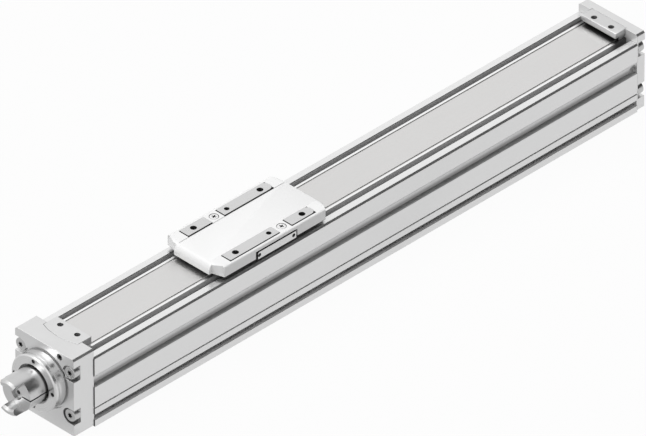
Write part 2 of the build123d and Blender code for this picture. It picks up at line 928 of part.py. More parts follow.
def carriage_body():
    body = along_y(carriage_section(), carriage_drive_end, carriage_far_end)
    for side, start, end in pads():
        body += upright(pad_outline(side, start, end, 0), bar_top, pad_top)
    for x, y in slide_hole_places():
        hole = Pos(x, y, pad_top) * Circle(slide_hole_radius)
        body -= extrude(hole, amount=-slide_hole_depth)
    for x in (-slide_hole_across, slide_hole_across):
        body -= rod_z(
            centring_hole_radius, pad_top - centring_hole_depth, pad_top, x, slide_middle
        )
    for x, y in cover_screw_places():
        bottom = bar_top - cover_screw_depth
        body -= rod_z(cover_screw_radius + thread_fit, bottom, bar_top, x, y)
    plate_hole = side_plate_screw_radius + thread_fit
    for side in (-1, 1):
        inner = side * (bar_outer - side_plate_screw_depth - 0.5)
        for y in side_plate_screw_stations():
            body -= rod_x(plate_hole, inner, side * bar_outer, y, side_plate_screw_height)
    for x, z in nut_screw_places():
        end = carriage_drive_end + nut_screw_in_body + 1
        body -= rod_y(nut_screw_radius + thread_fit, carriage_drive_end, end, x, z)
    for x, y in base_screw_places():
        top = runner_block_top + base_screw_head_length + base_screw_length + 1
        body -= rod_z(base_screw_radius + thread_fit, base_top, top, x, y)
    return body - magnets_block(-1) - magnets_block(1)


def magnets_block(side):
    inner, outer = sorted((side * (carriage_half - magnet_depth), side * carriage_half))
    return block(
        inner,
        outer,
        slide_middle - magnet_length / 2,
        slide_middle + magnet_length / 2,
        spindle_height - magnet_height / 2,
        spindle_height + magnet_height / 2,
    )


def position_magnets():
    return [magnets_block(-1), magnets_block(1)]


def runner_places():
    return [
        ("left_drive", -rail_across, slide_middle - runner_from_middle),
        ("left_far", -rail_across, slide_middle + runner_from_middle),
        ("right_drive", rail_across, slide_middle - runner_from_middle),
        ("right_far", rail_across, slide_middle + runner_from_middle),
    ]


def runner_section(x, inset):
    half = runner_width / 2 - inset
    top = runner_block_top - inset
    outline = rect(x - half, x + half, floor_top + runner_under_gap, top)
    slot_half = rail_width / 2 + running_fit
    slot_top = rail_top + runner_slot_gap
    return outline - rect(x - slot_half, x + slot_half, floor_top, slot_top)


def runner_screw_stations(y):
    half = runner_screw_spacing / 2
    return [y - half, y + half]


def runner_block(x, y):
    body = along_y(runner_section(x, 0), y - runner_length / 2, y + runner_length / 2)
    for screw_y in runner_screw_stations(y):
        body -= rod_z(
            runner_screw_radius + thread_fit,
            runner_block_top - runner_screw_in_block - 0.2,
            runner_block_top,
            x,
            screw_y,
        )
    return body


def runner_end_caps():
    caps = []
    for name, x, y in runner_places():
        section = runner_section(x, runner_cap_inset)
        drive_end = y - runner_length / 2
        far_end = y + runner_length / 2
        caps.append(along_y(section, drive_end - runner_cap_length, drive_end))
        caps.append(along_y(section, far_end, far_end + runner_cap_length))
    return caps


def runner_block_screws():
    head_top = base_top - runner_screw_head_sunk
    head_seat = head_top - runner_screw_head_length
    tip = runner_block_top - runner_screw_in_block
    screws = []
    for name, x, y in runner_places():
        for screw_y in runner_screw_stations(y):
            screw = rod_z(runner_screw_head_radius, head_seat, head_top, x, screw_y)
            screws.append(screw + rod_z(runner_screw_radius, tip, head_seat, x, screw_y))
    return screws


def carriage_base():
    body = block(
        -base_half, base_half, carriage_drive_end, carriage_far_end, runner_block_top, base_top
    )
    head_seat = base_top - runner_screw_head_sunk - runner_screw_head_length
    for name, x, y in runner_places():
        for screw_y in runner_screw_stations(y):
            body -= rod_z(runner_screw_radius + 0.1, runner_block_top, head_seat, x, screw_y)
            body -= rod_z(runner_screw_head_radius + 0.1, head_seat, base_top, x, screw_y)
    head_seat = runner_block_top + base_screw_head_length
    for x, y in base_screw_places():
        body -= rod_z(base_screw_head_radius + 0.1, runner_block_top, head_seat, x, y)
        body -= rod_z(base_screw_radius + 0.1, head_seat, base_top, x, y)
    return body


def carriage_base_screws():
    head_seat = runner_block_top + base_screw_head_length
    screws = []
    for x, y in base_screw_places():
        screw = rod_z(base_screw_head_radius, runner_block_top, head_seat, x, y)
        tip = head_seat + base_screw_length
        screws.append(screw + rod_z(base_screw_radius, head_seat, tip, x, y))
    return screws


def ball_nut():
    flange_start = carriage_drive_end - nut_flange_length
    flange = Circle(nut_flange_radius) & Rectangle(
        2 * nut_flange_radius, 2 * nut_flange_half_height
    )
    body = along_y(Pos(0, spindle_height) * flange, flange_start, carriage_drive_end)
    body_end = carriage_drive_end + nut_length
    body += rod_y(nut_radius - seat_fit, carriage_drive_end, body_end, 0, spindle_height)
    bore = spindle_radius + running_fit
    body -= rod_y(bore, flange_start, body_end, 0, spindle_height)
    for x, z in nut_screw_places():
        body -= rod_y(nut_screw_radius + 0.1, flange_start, carriage_drive_end, x, z)
    return body


def ball_nut_screws():
    seat = carriage_drive_end - nut_flange_length
    tip = carriage_drive_end + nut_screw_in_body
    screws = []
    for x, z in nut_screw_places():
        head = rod_y(nut_screw_head_radius, seat - nut_screw_head_length, seat, x, z)
        screws.append(head + rod_y(nut_screw_radius, seat, tip, x, z))
    return screws


def cover_plan():
    """The slide cover from above, with its four stepped corners."""
    end = slide_length / 2
    corner_start = end - cover_corner_step
    corner_end = corner_start - cover_corner_run
    right = [
        (cover_end_half, -end),
        (cover_end_half, -corner_start),
        (cover_half, -corner_end),
        (cover_half, corner_end),
        (cover_end_half, corner_start),
        (cover_end_half, end),
    ]
    left = [(-x, y) for x, y in right[::-1]]
    return Pos(0, slide_middle) * make_face(Polyline(*right, *left, close=True))


def cover_shell():
    height = cover_top - cover_bottom
    side_view = Rectangle(slide_length, height)
    side_view = fillet(side_view.vertices().group_by(Axis.Y)[-1], cover_end_radius)
    plane = Plane(
        origin=(-cover_half, slide_middle, cover_bottom + height / 2),
        x_dir=(0, 1, 0),
        z_dir=(1, 0, 0),
    )
    rounded = extrude(plane * side_view, amount=2 * cover_half)
    shell = rounded & upright(cover_plan(), cover_bottom, cover_top)
    long_edges = shell.edges().filter_by(Axis.Y).filter_by_position(
        Axis.Z, cover_top - 0.01, cover_top + 0.01
    )
    shell = fillet(long_edges, cover_side_radius)
    middle_end = slide_length / 2 - cover_middle_end
    shell -= block(
        -cover_middle_half,
        cover_middle_half,
        slide_middle - middle_end,
        slide_middle + middle_end,
        cover_top - cover_middle_depth,
        cover_top,
    )
    inner_half = cover_half - cover_side_wall
    inner_end = slide_length / 2 - cover_end_wall
    return shell - block(
        -inner_half,
        inner_half,
        slide_middle - inner_end,
        slide_middle + inner_end,
        cover_bottom,
        bar_top,
    )


def side_plate_outline(grow):
    half = side_plate_length / 2 + grow
    top = side_plate_bottom + side_plate_height + grow
    outline = rect(-half, half, side_plate_bottom, top)
    return fillet(outline.vertices().group_by(Axis.Y)[-1], side_plate_corner + grow)


def side_plate_blank(side, grow, start, end):
    """Extrudes the plate's outline across X, from one distance to another."""
    plane = Plane(origin=(side * start, slide_middle, 0), x_dir=(0, 1, 0), z_dir=(1, 0, 0))
    return extrude(plane * side_plate_outline(grow), amount=side * (end - start))


def slide_cover():
    shell = cover_shell()
    for side, start, end in pads():
        shell -= upright(pad_outline(side, start, end, seam), bar_top - 1, cover_top + 1)
    head_seat = cover_top - cover_screw_head_length
    for x, y in cover_screw_places():
        shell -= rod_z(cover_screw_head_radius + 0.1, head_seat, cover_top + 1, x, y)
        shell -= rod_z(cover_screw_radius + 0.1, bar_top, head_seat, x, y)
    plate_back = cover_half - side_plate_thickness
    screw_hole = side_plate_screw_radius + 0.1
    for side in (-1, 1):
        shell -= side_plate_blank(side, seam, plate_back, cover_half + 1)
        for y in side_plate_screw_stations():
            inner = side * (cover_half - cover_side_wall - 1)
            shell -= rod_x(screw_hole, inner, side * cover_half, y, side_plate_screw_height)
    return shell


def slide_cover_screws():
    head_seat = cover_top - cover_screw_head_length
    screws = []
    for x, y in cover_screw_places():
        screw = rod_z(cover_screw_head_radius, head_seat, cover_top, x, y)
        tip = bar_top - cover_screw_depth + 0.5
        screws.append(screw + rod_z(cover_screw_radius, tip, head_seat, x, y))
    return screws


def side_plate(side):
    plate = side_plate_blank(side, 0, cover_half - side_plate_thickness, cover_half)
    head_seat = side * (cover_half - side_plate_screw_head_length)
    for y in side_plate_screw_stations():
        z = side_plate_screw_height
        plate -= rod_x(side_plate_screw_head_radius + 0.1, head_seat, side * cover_half, y, z)
        plate -= rod_x(side_plate_screw_radius + 0.1, 0, side * cover_half, y, z)
    return plate


def side_plate_screws():
    screws = []
    for side in (-1, 1):
        head_seat = side * (cover_half - side_plate_screw_head_length)
        head_top = side * (cover_half - 0.2)
        tip = side * (bar_outer - side_plate_screw_depth)
        for y in side_plate_screw_stations():
            z = side_plate_screw_height
            head = rod_x(side_plate_screw_head_radius, head_seat, head_top, y, z)
            screws.append(head + rod_x(side_plate_screw_radius, tip, head_seat, y, z))
    return screws


def strip_wipers():
    wipers = []
    inner_end = slide_length / 2 - cover_end_wall
    for side in (-1, 1):
        outer = slide_middle + side * inner_end
        start, end = sorted((outer, outer - side * wiper_thickness))
        bottom = strip_top + wiper_gap
        wipers.append(block(-wiper_half, wiper_half, start, end, bottom, bar_top))
    return wipers


nodes = {
    "profile_extrusion": profile_extrusion(),
    "drive_end_cap": drive_end_cap(),
    "far_end_cap": far_end_cap(),
    "bearing_flange": bearing_flange(),
    "bearing_retaining_ring": bearing_retaining_ring(),
    "fixed_bearing_outer_rings": fixed_bearing_outer_rings(),
    "floating_bearing_outer_ring": floating_bearing_outer_ring(),
    "cover_strip": cover_strip(),
    "drive_strip_clamp": drive_strip_clamp(),
    "far_strip_clamp": far_strip_clamp(),
    "drive_clamp_screws": clamp_screws("drive"),
    "far_clamp_screws": clamp_screws("far"),
    "drive_cap_screws": cap_screws(drive_face, 1),
    "far_cap_screws": cap_screws(far_face, -1),
    "cap_plug_screw": cap_plug_screw(),
    "guide_rail_left": guide_rail(-rail_across),
    "guide_rail_right": guide_rail(rail_across),
    "guide_rail_screws": guide_rail_screws(),
    "drive_bumper": drive_bumper(),
    "far_bumper": far_bumper(),
    "ball_screw_spindle": ball_screw_spindle(),
    "coupling_hub": coupling_hub(),
    "hub_clamp_screw": hub_clamp_screw(),
    "fixed_bearing_inner_rings": fixed_bearing_inner_rings(),
    "fixed_bearing_lock_nut": fixed_bearing_lock_nut(),
    "floating_bearing_inner_ring": floating_bearing_inner_ring(),
    "floating_bearing_circlip": floating_bearing_circlip(),
    "carriage_body": carriage_body(),
    "carriage_base": carriage_base(),
    "carriage_base_screws": carriage_base_screws(),
    "ball_nut": ball_nut(),
    "ball_nut_screws": ball_nut_screws(),
    "runner_end_caps": runner_end_caps(),
    "runner_block_screws": runner_block_screws(),
    "slide_cover": slide_cover(),
    "slide_cover_screws": slide_cover_screws(),
    "side_plate_left": side_plate(-1),
    "side_plate_right": side_plate(1),
    "side_plate_screws": side_plate_screws(),
    "strip_wipers": strip_wipers(),
    "position_magnets": position_magnets(),
}
for place, runner_x, runner_y in runner_places():
    nodes["runner_block_" + place] = runner_block(runner_x, runner_y)

os.makedirs("parts", exist_ok=True)
for name, shape in nodes.items():
    pieces = shape if isinstance(shape, list) else [shape]
    node = Compound(label=name, children=[piece.solid() for piece in pieces])
    export_step(node, "parts/" + name + ".step")
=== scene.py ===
import json
import math

import bpy
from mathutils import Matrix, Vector


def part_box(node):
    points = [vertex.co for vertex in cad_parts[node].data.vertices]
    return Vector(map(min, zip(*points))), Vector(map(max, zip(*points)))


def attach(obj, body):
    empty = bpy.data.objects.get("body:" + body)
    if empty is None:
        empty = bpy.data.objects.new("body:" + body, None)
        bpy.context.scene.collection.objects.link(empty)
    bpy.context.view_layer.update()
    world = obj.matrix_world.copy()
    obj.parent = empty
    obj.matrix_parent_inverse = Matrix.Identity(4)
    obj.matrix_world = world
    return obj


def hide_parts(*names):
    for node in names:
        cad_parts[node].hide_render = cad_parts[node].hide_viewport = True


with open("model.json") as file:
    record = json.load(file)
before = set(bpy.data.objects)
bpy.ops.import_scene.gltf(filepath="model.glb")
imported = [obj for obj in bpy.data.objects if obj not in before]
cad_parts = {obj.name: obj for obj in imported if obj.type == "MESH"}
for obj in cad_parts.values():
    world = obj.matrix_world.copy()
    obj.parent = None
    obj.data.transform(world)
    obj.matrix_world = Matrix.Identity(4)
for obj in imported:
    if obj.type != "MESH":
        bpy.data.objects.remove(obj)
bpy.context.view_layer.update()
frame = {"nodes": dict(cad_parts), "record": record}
print("frame loaded:", len(frame["nodes"]), "nodes")

mm = 0.001
hair = 0.01 * mm  # points closer than this count as level
near = 0.1 * mm  # margin that tells neighbouring points or faces apart
past = 1 * mm  # how far a cutter reaches beyond its piece
spindleHeight = 37.4 * mm  # the screw line above the base
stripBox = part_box("cover_strip")
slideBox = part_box("slide_cover")
slideMiddle = (slideBox[0][1] + slideBox[1][1]) / 2
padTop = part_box("carriage_body")[1][2]


# camera and light

view = {
    "aim": (-16.73 * mm, 0.53 * mm, 19.37 * mm),
    "azimuth": 45.0,
    "elevation": 35.264,
    "distance": 14.0,
    "lens": 1100.0,
    "clip": (1, 100),
}

light = {
    "sky": 0.5,
    "glossySky": 1.0,
    "keyFrom": (-0.3, -0.25, 0.85),
    "keyPlace": (1, -1, 2),
    "keyStrength": 1.85,
    "keySpread": 50.0,
    "floorSize": 6.0,
    "floorWhite": 0.96,
    "floorTone": 0.5,
    "frontGloss": 0.5,  # the floor's white that metal mirrors in front of the drive end
    "frontFall": (-0.31, -0.28),  # where along Y it falls to that
    "cardFrom": (0.577, 0.577, 0.577),  # a dark disc that only reflections see
    "cardAway": 3.0,
    "cardRadius": 1.82,
    "cardTone": 0.03,
}


def makeCamera(settings):
    azimuth = math.radians(settings["azimuth"])
    elevation = math.radians(settings["elevation"])
    back = Vector((
        math.sin(azimuth) * math.cos(elevation),
        -math.cos(azimuth) * math.cos(elevation),
        math.sin(elevation),
    ))
    place = Vector(settings["aim"]) + back * settings["distance"]
    bpy.ops.object.camera_add(location=place, rotation=(math.pi / 2 - elevation, 0, azimuth))
    camera = bpy.context.object
    camera.data.lens = settings["lens"]
    camera.data.clip_start, camera.data.clip_end = settings["clip"]
    bpy.context.scene.camera = camera


# shader wires: an expression on values adds its maths nodes

class Wire:
    def __init__(self, sheet, socket):
        self.sheet = sheet
        self.socket = socket

    def maths(self, operation, first, second):
        return self.sheet.node("ShaderNodeMath", {"operation": operation}, {0: first, 1: second})

    def __add__(self, other):
        return self.maths("ADD", self, other)

    def __radd__(self, other):
        return self.maths("ADD", other, self)

    def __sub__(self, other):
        return self.maths("SUBTRACT", self, other)

    def __rsub__(self, other):
        return self.maths("SUBTRACT", other, self)

    def __mul__(self, other):
        return self.maths("MULTIPLY", self, other)

    def __rmul__(self, other):
        return self.maths("MULTIPLY", other, self)

    def __pow__(self, other):
        return self.maths("POWER", self, other)

    def above(self, edge):
        return self.maths("GREATER_THAN", self, edge)


# the node tree of a material or of the world

class Graph:
    def __init__(self, tree):
        self.tree = tree

    def feed(self, socket, value):
        if isinstance(value, Wire):
            self.tree.links.new(value.socket, socket)
        else:
            socket.default_value = value

    def node(self, kind, settings, sockets, out=0):
        made = self.tree.nodes.new(kind)
        for key, value in settings.items():
            if key == "stops":
                self.fillRamp(made.color_ramp, value)
            else:
                setattr(made, key, value)
        for key, value in sockets.items():
            self.feed(made.inputs[key], value)
        return Wire(self, made.outputs[out])

    def fillRamp(self, ramp, stops):
        while len(ramp.elements) < len(stops):
            ramp.elements.new(0.5)
        for element, (place, colour) in zip(ramp.elements, stops):
            element.position = place
            element.color = colour

    def absolute(self, value):
        return self.node("ShaderNodeMath", {"operation": "ABSOLUTE"}, {0: value})

    def ray(self, kind):
        return self.node("ShaderNodeLightPath", {}, {}, kind)

    def span(self, value, low, high, **ends):
        sockets = {"Value": value, "To Min": low, "To Max": high}
        for name, end in ends.items():
            sockets["From " + name] = end
        return self.node("ShaderNodeMapRange", {}, sockets)


# one material: its shader, and textures that follow the object's own coordinates

class Sheet(Graph):
    def __init__(self, name, **fixed):
        self.material = bpy.data.materials.new(name)
        self.material.use_nodes = True
        super().__init__(self.material.node_tree)
        self.shader = self.tree.nodes["Principled BSDF"]
        for key, value in fixed.items():
            self.shader.inputs[key.replace("_", " ")].default_value = value

    def place(self, scale=(1, 1, 1), move=(0, 0, 0)):
        spot = self.node("ShaderNodeTexCoord", {}, {}, "Object")
        sockets = {"Vector": spot, "Location": move, "Scale": scale}
        return self.node("ShaderNodeMapping", {}, sockets)

    def axis(self, letter):
        spot = self.node("ShaderNodeTexCoord", {}, {}, "Object")
        return self.node("ShaderNodeSeparateXYZ", {}, {"Vector": spot}, letter)

    def noise(self, vector, scale, detail=3.0):
        sockets = {"Vector": vector, "Scale": scale, "Detail": detail}
        return self.node("ShaderNodeTexNoise", {}, sockets, "Fac")

    def blend(self, factor, low, high):
        sockets = {"Factor": factor, 6: low, 7: high}
        return self.node("ShaderNodeMix", {"data_type": "RGBA"}, sockets, 2)

    def fade(self, value, start, end):
        return self.node("ShaderNodeMapRange", {"interpolation_type": "SMOOTHSTEP"},
                         {"Value": value, "From Min": start, "From Max": end})

    def set(self, socket, value):
        self.feed(self.shader.inputs[socket], value)

    def bump(self, height, depth, softEdge=0.0):
        sockets = {"Height": height, "Distance": depth, "Strength": 1.0}
        if softEdge:
            sockets["Normal"] = self.node("ShaderNodeBevel", {"samples": 4}, {"Radius": softEdge})
        self.set("Normal", self.node("ShaderNodeBump", {}, sockets))


def grey(level, warm=0.0):
    linear = ((level / 255 + 0.055) / 1.055) ** 2.4
    return (linear * (1 + warm), linear, linear * (1 - warm), 1)


# finishes

profileFinish = {"tone": 218, "metal": 0.92, "rough": 0.3, "lineDepth": 2e-6, "edge": 0.25 * mm}
capFinish = {"tone": 216, "metal": 0.92, "rough": 0.32, "grain": 2.5e-6, "edge": 0.3 * mm}
stripFinish = {"tone": 211, "warm": 0.008, "metal": 0.95, "rough": 0.3, "lineDepth": 4e-7,
               "spread": 2}
turnedFinish = {"tone": 216, "metal": 1.0, "rough": 0.27, "ringDepth": 4e-6, "edge": 0.2 * mm}
hubFinish = {"tone": 200, "metal": 1.0, "rough": 0.3, "ringDepth": 6e-6, "edge": 0.25 * mm}
coverFinish = {"colour": grey(243), "rough": 0.42, "grain": 1.5e-6, "edge": 0.5 * mm}
padFinish = {"tone": 205, "metal": 0.85, "rough": 0.35, "edge": 0.2 * mm}
plateFinish = {"tone": 250, "metal": 0.2, "rough": 0.35, "lineDepth": 2e-6, "edge": 0.2 * mm}
steelFinish = {"tone": 190, "metal": 1.0, "rough": 0.28, "grain": 1e-6, "edge": 0.15 * mm}
clampFinish = {"tone": 205, "metal": 0.9, "rough": 0.35, "grain": 2e-6, "edge": 0.2 * mm}
recessShadeFinish = {"tone": 105, "metal": 0.8, "rough": 0.4, "grain": 1e-6, "edge": 0.1 * mm}
blackFinish = {"tone": 62, "metal": 0.7, "rough": 0.4, "grain": 1e-6, "edge": 0.1 * mm}
magnetFinish = {"tone": 95, "metal": 0.8, "rough": 0.5, "grain": 2e-6, "edge": 0.1 * mm}
groundFinish = {"tone": 180, "metal": 1.0, "rough": 0.2, "ringDepth": 1e-6, "edge": 0.1 * mm}
mouldingFinish = {"colour": (0.03, 0.03, 0.03, 1), "rough": 0.5, "grain": 3e-6, "edge": 0.2 * mm}
# painted shade for cut walls, gaps and holes that lie in shade
paintedShadeFinish = {"colour": grey(28), "rough": 0.7, "grain": 2e-6, "edge": 0.1 * mm}
headFinish = {"colour": grey(236), "rough": 0.35, "grain": 1e-6, "edge": 0.15 * mm}
lineShare = 0.6  # of a drawn surface's small changes in tone; patches make the rest

textureScale = {
    "drawnLines": 2600.0,
    "drawnPatches": 22.0,
    "blastGrain": 5200.0,
    "blastPatches": 60.0,
    "turnedRings": 5200.0,
    "mouldedGrain": 4200.0,
    "mouldedPatches": 45.0,
    "rubberGrain": 2600.0,
    "feltHair": 3800.0,
    "clothWeave": 40.0,
}

# light and shade painted on the profile, the strip and the far cap
# a slot is given by its inner, outer, low and high limit

profileShade = {
    "ends": 272.0 * mm,  # the sawn ends lie past this; their dark tone is painted shade in the joint with the caps
    "endShadeTone": 70,
    # painted shade fading down the cove above the sensor slot
    "cove": (36.9 * mm, 43.75 * mm),
    "coveFade": (41.75 * mm, 37.1 * mm),
    "coveShadeTones": (250, 150),
    # painted light: the slots' inner walls are made pale and not metallic
    "slots": ((20 * mm, 23.7 * mm, 12 * mm, 58.4 * mm),
              (23.8 * mm, 29.6 * mm, 33.5 * mm, 36.9 * mm),
              (23.8 * mm, 29.6 * mm, 5.3 * mm, 10.5 * mm)),
    "slotLightTone": 208,
    # painted light: the profile's flange tops are made lighter
    "paintedLightFrom": (20 * mm, 59.05 * mm),
    "paintedLightTone": 229,
}
stripShade = {
    # painted light: the sides of the strip's bent lips are made pale and not metallic
    "slots": ((17.6 * mm, 19 * mm, 50 * mm, 58.9 * mm),),
    "slotLightTone": 200,
    # painted light: the tops of the strip's side lips are made lighter
    "paintedLightFrom": (16.6 * mm, 59.0 * mm),
    "paintedLightTone": 242,
    "shadeFrom": (253.5 * mm, 262.6 * mm),
    "shadeTone": 30,
    "shadeDepth": 0.85,
}
# painted light on the far cap's face inside the profile: lighter and less metallic
capShade = {"innerFrom": 272.3 * mm, "innerLightTone": 222, "innerMetal": 0.7}


def drawnMetal(name, tone, metal, rough, lineDepth, edge=0.0, warm=0.0, spread=4, shade=None):
    sheet = Sheet(name, Metallic=metal)
    shade = shade or {}
    lines = sheet.noise(sheet.place(scale=(1, 0.012, 1)), textureScale["drawnLines"], 4.0)
    patches = sheet.noise(sheet.place(scale=(1, 0.3, 1)), textureScale["drawnPatches"], 2.0)
    across = sheet.absolute(sheet.axis("X"))
    along = sheet.axis("Y")
    up = sheet.axis("Z")
    dim, bright = grey(tone - spread, warm), grey(tone + spread, warm)
    colour = sheet.blend(lines * lineShare + patches * (1 - lineShare), dim, bright)
    coveShade = 0.0
    inside = 0.0
    # painted light: flange tops on the profile and lip tops on the strip are made lighter
    if "paintedLightFrom" in shade:
        start, height = shade["paintedLightFrom"]
        flange = up.above(height) * across.above(start)
        colour = sheet.blend(flange, colour, grey(shade["paintedLightTone"]))
    # painted shade: the cove fades from light to dark grey downwards and loses its metal
    if "cove" in shade:
        low, high = shade["cove"]
        light, dark = shade["coveShadeTones"]
        shaded = sheet.blend(sheet.fade(up, *shade["coveFade"]), grey(light), grey(dark))
        coveShade = up.above(low) * (1 - up.above(high)) + coveShade
        colour = sheet.blend(coveShade, colour, shaded)
    # painted light: the slots' walls are made pale and not metallic
    if "slots" in shade:
        for inner, outer, low, high in shade["slots"]:
            wide = across.above(inner) * (1 - across.above(outer))
            inside = wide * up.above(low) * (1 - up.above(high)) + inside
        colour = sheet.blend(inside, colour, grey(shade["slotLightTone"]))
        sheet.set("Metallic", metal - (inside + coveShade) * metal)
    # painted shade: the sawn ends turn dark, standing for the shade in the joint with the caps
    if "ends" in shade:
        sawn = sheet.absolute(along).above(shade["ends"])
        colour = sheet.blend(sawn, colour, grey(shade["endShadeTone"]))
    if "shadeFrom" in shade:
        depth = sheet.fade(along, *shade["shadeFrom"]) * shade["shadeDepth"]
        colour = sheet.blend(depth, colour, grey(shade["shadeTone"]))
    sheet.set("Base Color", colour)
    sheet.set("Roughness", rough - 0.05 + lines * 0.1)
    sheet.bump(lines, lineDepth, edge)
    return sheet.material


def blastedMetal(name, tone, metal, rough, grain, edge, shade=None):
    sheet = Sheet(name, Metallic=metal)
    fine = sheet.noise(sheet.place(), textureScale["blastGrain"], 2.0)
    patches = sheet.noise(sheet.place(), textureScale["blastPatches"], 3.0)
    colour = sheet.blend(fine * 0.5 + patches * 0.5, grey(tone - 4), grey(tone + 4))
    # painted light: the far cap's face inside the profile is made lighter and less metallic
    if shade:
        along = sheet.axis("Y")
        inner = along.above(0.0) * (1 - along.above(shade["innerFrom"]))
        colour = sheet.blend(inner, colour, grey(shade["innerLightTone"]))
        sheet.set("Metallic", metal - inner * shade["innerMetal"])
    sheet.set("Base Color", colour)
    sheet.set("Roughness", rough - 0.06 + patches * 0.12)
    sheet.bump(fine, grain, edge)
    return sheet.material


def turnedMetal(name, tone, metal, rough, ringDepth, edge):
    sheet = Sheet(name, Metallic=metal)
    spot = sheet.place(move=(0, 0, -spindleHeight))
    across = sheet.node("ShaderNodeSeparateXYZ", {}, {"Vector": spot}, "X")
    along = Wire(sheet, across.socket.node.outputs["Y"])
    up = Wire(sheet, across.socket.node.outputs["Z"])
    radius = (across * across + up * up) ** 0.5
    ringSpot = sheet.node("ShaderNodeCombineXYZ", {}, {"X": radius, "Y": along})
    rings = sheet.noise(ringSpot, textureScale["turnedRings"], 2.0)
    sheet.set("Base Color", sheet.blend(rings, grey(tone - 8), grey(tone + 6)))
    sheet.set("Roughness", rough - 0.04 + rings * 0.08)
    sheet.bump(rings, ringDepth, edge)
    return sheet.material


def milledOnTop(name, tone, metal, rough, edge, topFrom, sideTone=58):
    sheet = Sheet(name)
    lines = sheet.noise(sheet.place(scale=(1, 0.03, 1)), textureScale["drawnLines"], 3.0)
    # every face below topFrom is dark grey and not metallic; only the pad tops are bright metal
    milled = sheet.axis("Z").above(topFrom)
    bright = sheet.blend(lines, grey(tone - 3), grey(tone + 3))
    sheet.set("Base Color", sheet.blend(milled, grey(sideTone), bright))
    sheet.set("Metallic", milled * metal)
    sheet.set("Roughness", rough + lines * 0.08)
    sheet.bump(lines, 1.5e-6, edge)
    return sheet.material


def mouldedPlastic(name, colour, rough, grain, edge, shadeBelow=None, shadeBelowTone=30):
    sheet = Sheet(name)
    fine = sheet.noise(sheet.place(), textureScale["mouldedGrain"], 3.0)
    patches = sheet.noise(sheet.place(), textureScale["mouldedPatches"], 2.0)
    dark = tuple(part * 0.97 for part in colour[:3]) + (1,)
    mixed = sheet.blend(patches, dark, colour)
    # painted shade: faces below this height turn near black, standing for the shade under the
    # slide
    if shadeBelow:
        mixed = sheet.blend(sheet.axis("Z").above(shadeBelow), grey(shadeBelowTone), mixed)
    sheet.set("Base Color", mixed)
    sheet.set("Roughness", rough - 0.05 + fine * 0.1)
    sheet.bump(fine, grain, edge)
    return sheet.material


def rubber(name):
    sheet = Sheet(name)
    grain = sheet.noise(sheet.place(), textureScale["rubberGrain"], 4.0)
    sheet.set("Base Color", sheet.blend(grain, (0.012, 0.012, 0.012, 1), (0.03, 0.03, 0.03, 1)))
    sheet.set("Roughness", 0.7 + grain * 0.2)
    sheet.bump(grain, 8e-6)
    return sheet.material


def felt(name):
    sheet = Sheet(name)
    fuzz = sheet.noise(sheet.place(scale=(1, 0.25, 1)), textureScale["feltHair"], 6.0)
    sheet.set("Base Color", sheet.blend(fuzz, (0.02, 0.02, 0.02, 1), (0.07, 0.07, 0.07, 1)))
    sheet.set("Roughness", 0.9 + fuzz * 0.1)
    sheet.bump(fuzz, 4e-5)
    return sheet.material


drawnProfile = drawnMetal("drawnProfile", shade=profileShade, **profileFinish)
blastedCap = blastedMetal("blastedCap", shade=capShade, **capFinish)
rolledStrip = drawnMetal("rolledStrip", shade=stripShade, **stripFinish)
turnedSteel = turnedMetal("turnedSteel", **turnedFinish)
turnedHub = turnedMetal("turnedHub", **hubFinish)
# the cover's underside is painted near black as shade
whiteCover = mouldedPlastic("whiteCover", shadeBelow=slideBox[0][2] + 0.15 * mm, **coverFinish)
milledPad = milledOnTop("milledPad", topFrom=padTop - 0.12 * mm, **padFinish)
farClampMetal = blastedMetal("farClampMetal", **clampFinish)
paintedShade = mouldedPlastic("paintedShade", **paintedShadeFinish)
recessShadeSteel = blastedMetal("recessShadeSteel", **recessShadeFinish)
blackScrewAndRecessShade = blastedMetal("blackScrewAndRecessShade", **blackFinish)
punchedPlate = drawnMetal("punchedPlate", **plateFinish)
zincSteel = blastedMetal("zincSteel", **steelFinish)
groundSteel = turnedMetal("groundSteel", **groundFinish)
blackMoulding = mouldedPlastic("blackMoulding", **mouldingFinish)
blackRubber = rubber("blackRubber")
wiperFelt = felt("wiperFelt")
dullMagnet = blastedMetal("dullMagnet", **magnetFinish)
whiteScrew = mouldedPlastic("whiteScrew", **headFinish)

slotFinish = {
    "anodised_profile": drawnProfile,
    "end_cap": blastedCap,
    "turned_collar": turnedSteel,
    "turned_hub": turnedHub,
    "steel_strip": rolledStrip,
    "bumper_rubber": blackRubber,
    "machined_carriage": milledPad,
    "white_cover": whiteCover,
    "white_screw": whiteScrew,
    "side_plate": punchedPlate,
    "dark_plastic": blackMoulding,
    "wiper_felt": wiperFelt,
    "magnet": dullMagnet,
    "guide_steel": groundSteel,
    "spindle_steel": groundSteel,
    "zinc_steel": zincSteel,
}


blackNodes = ("drive_clamp_screws", "far_clamp_screws", "cap_plug_screw", "hub_clamp_screw")


def dressNodes():
    for part in frame["record"]["subparts"]:
        black = part["node"] in blackNodes
        node = frame["nodes"][part["node"]]
        node.data.materials.clear()
        node.data.materials.append(blackScrewAndRecessShade if black else slotFinish[part["material_slot"]])


# tools for the modelled pieces

def startPiece(name):
    piece = bpy.context.object
    piece.name = name
    return piece


def clearSelection():
    bpy.ops.object.select_all(action="DESELECT")


def makeActive(piece):
    clearSelection()
    piece.select_set(True)
    bpy.context.view_layer.objects.active = piece


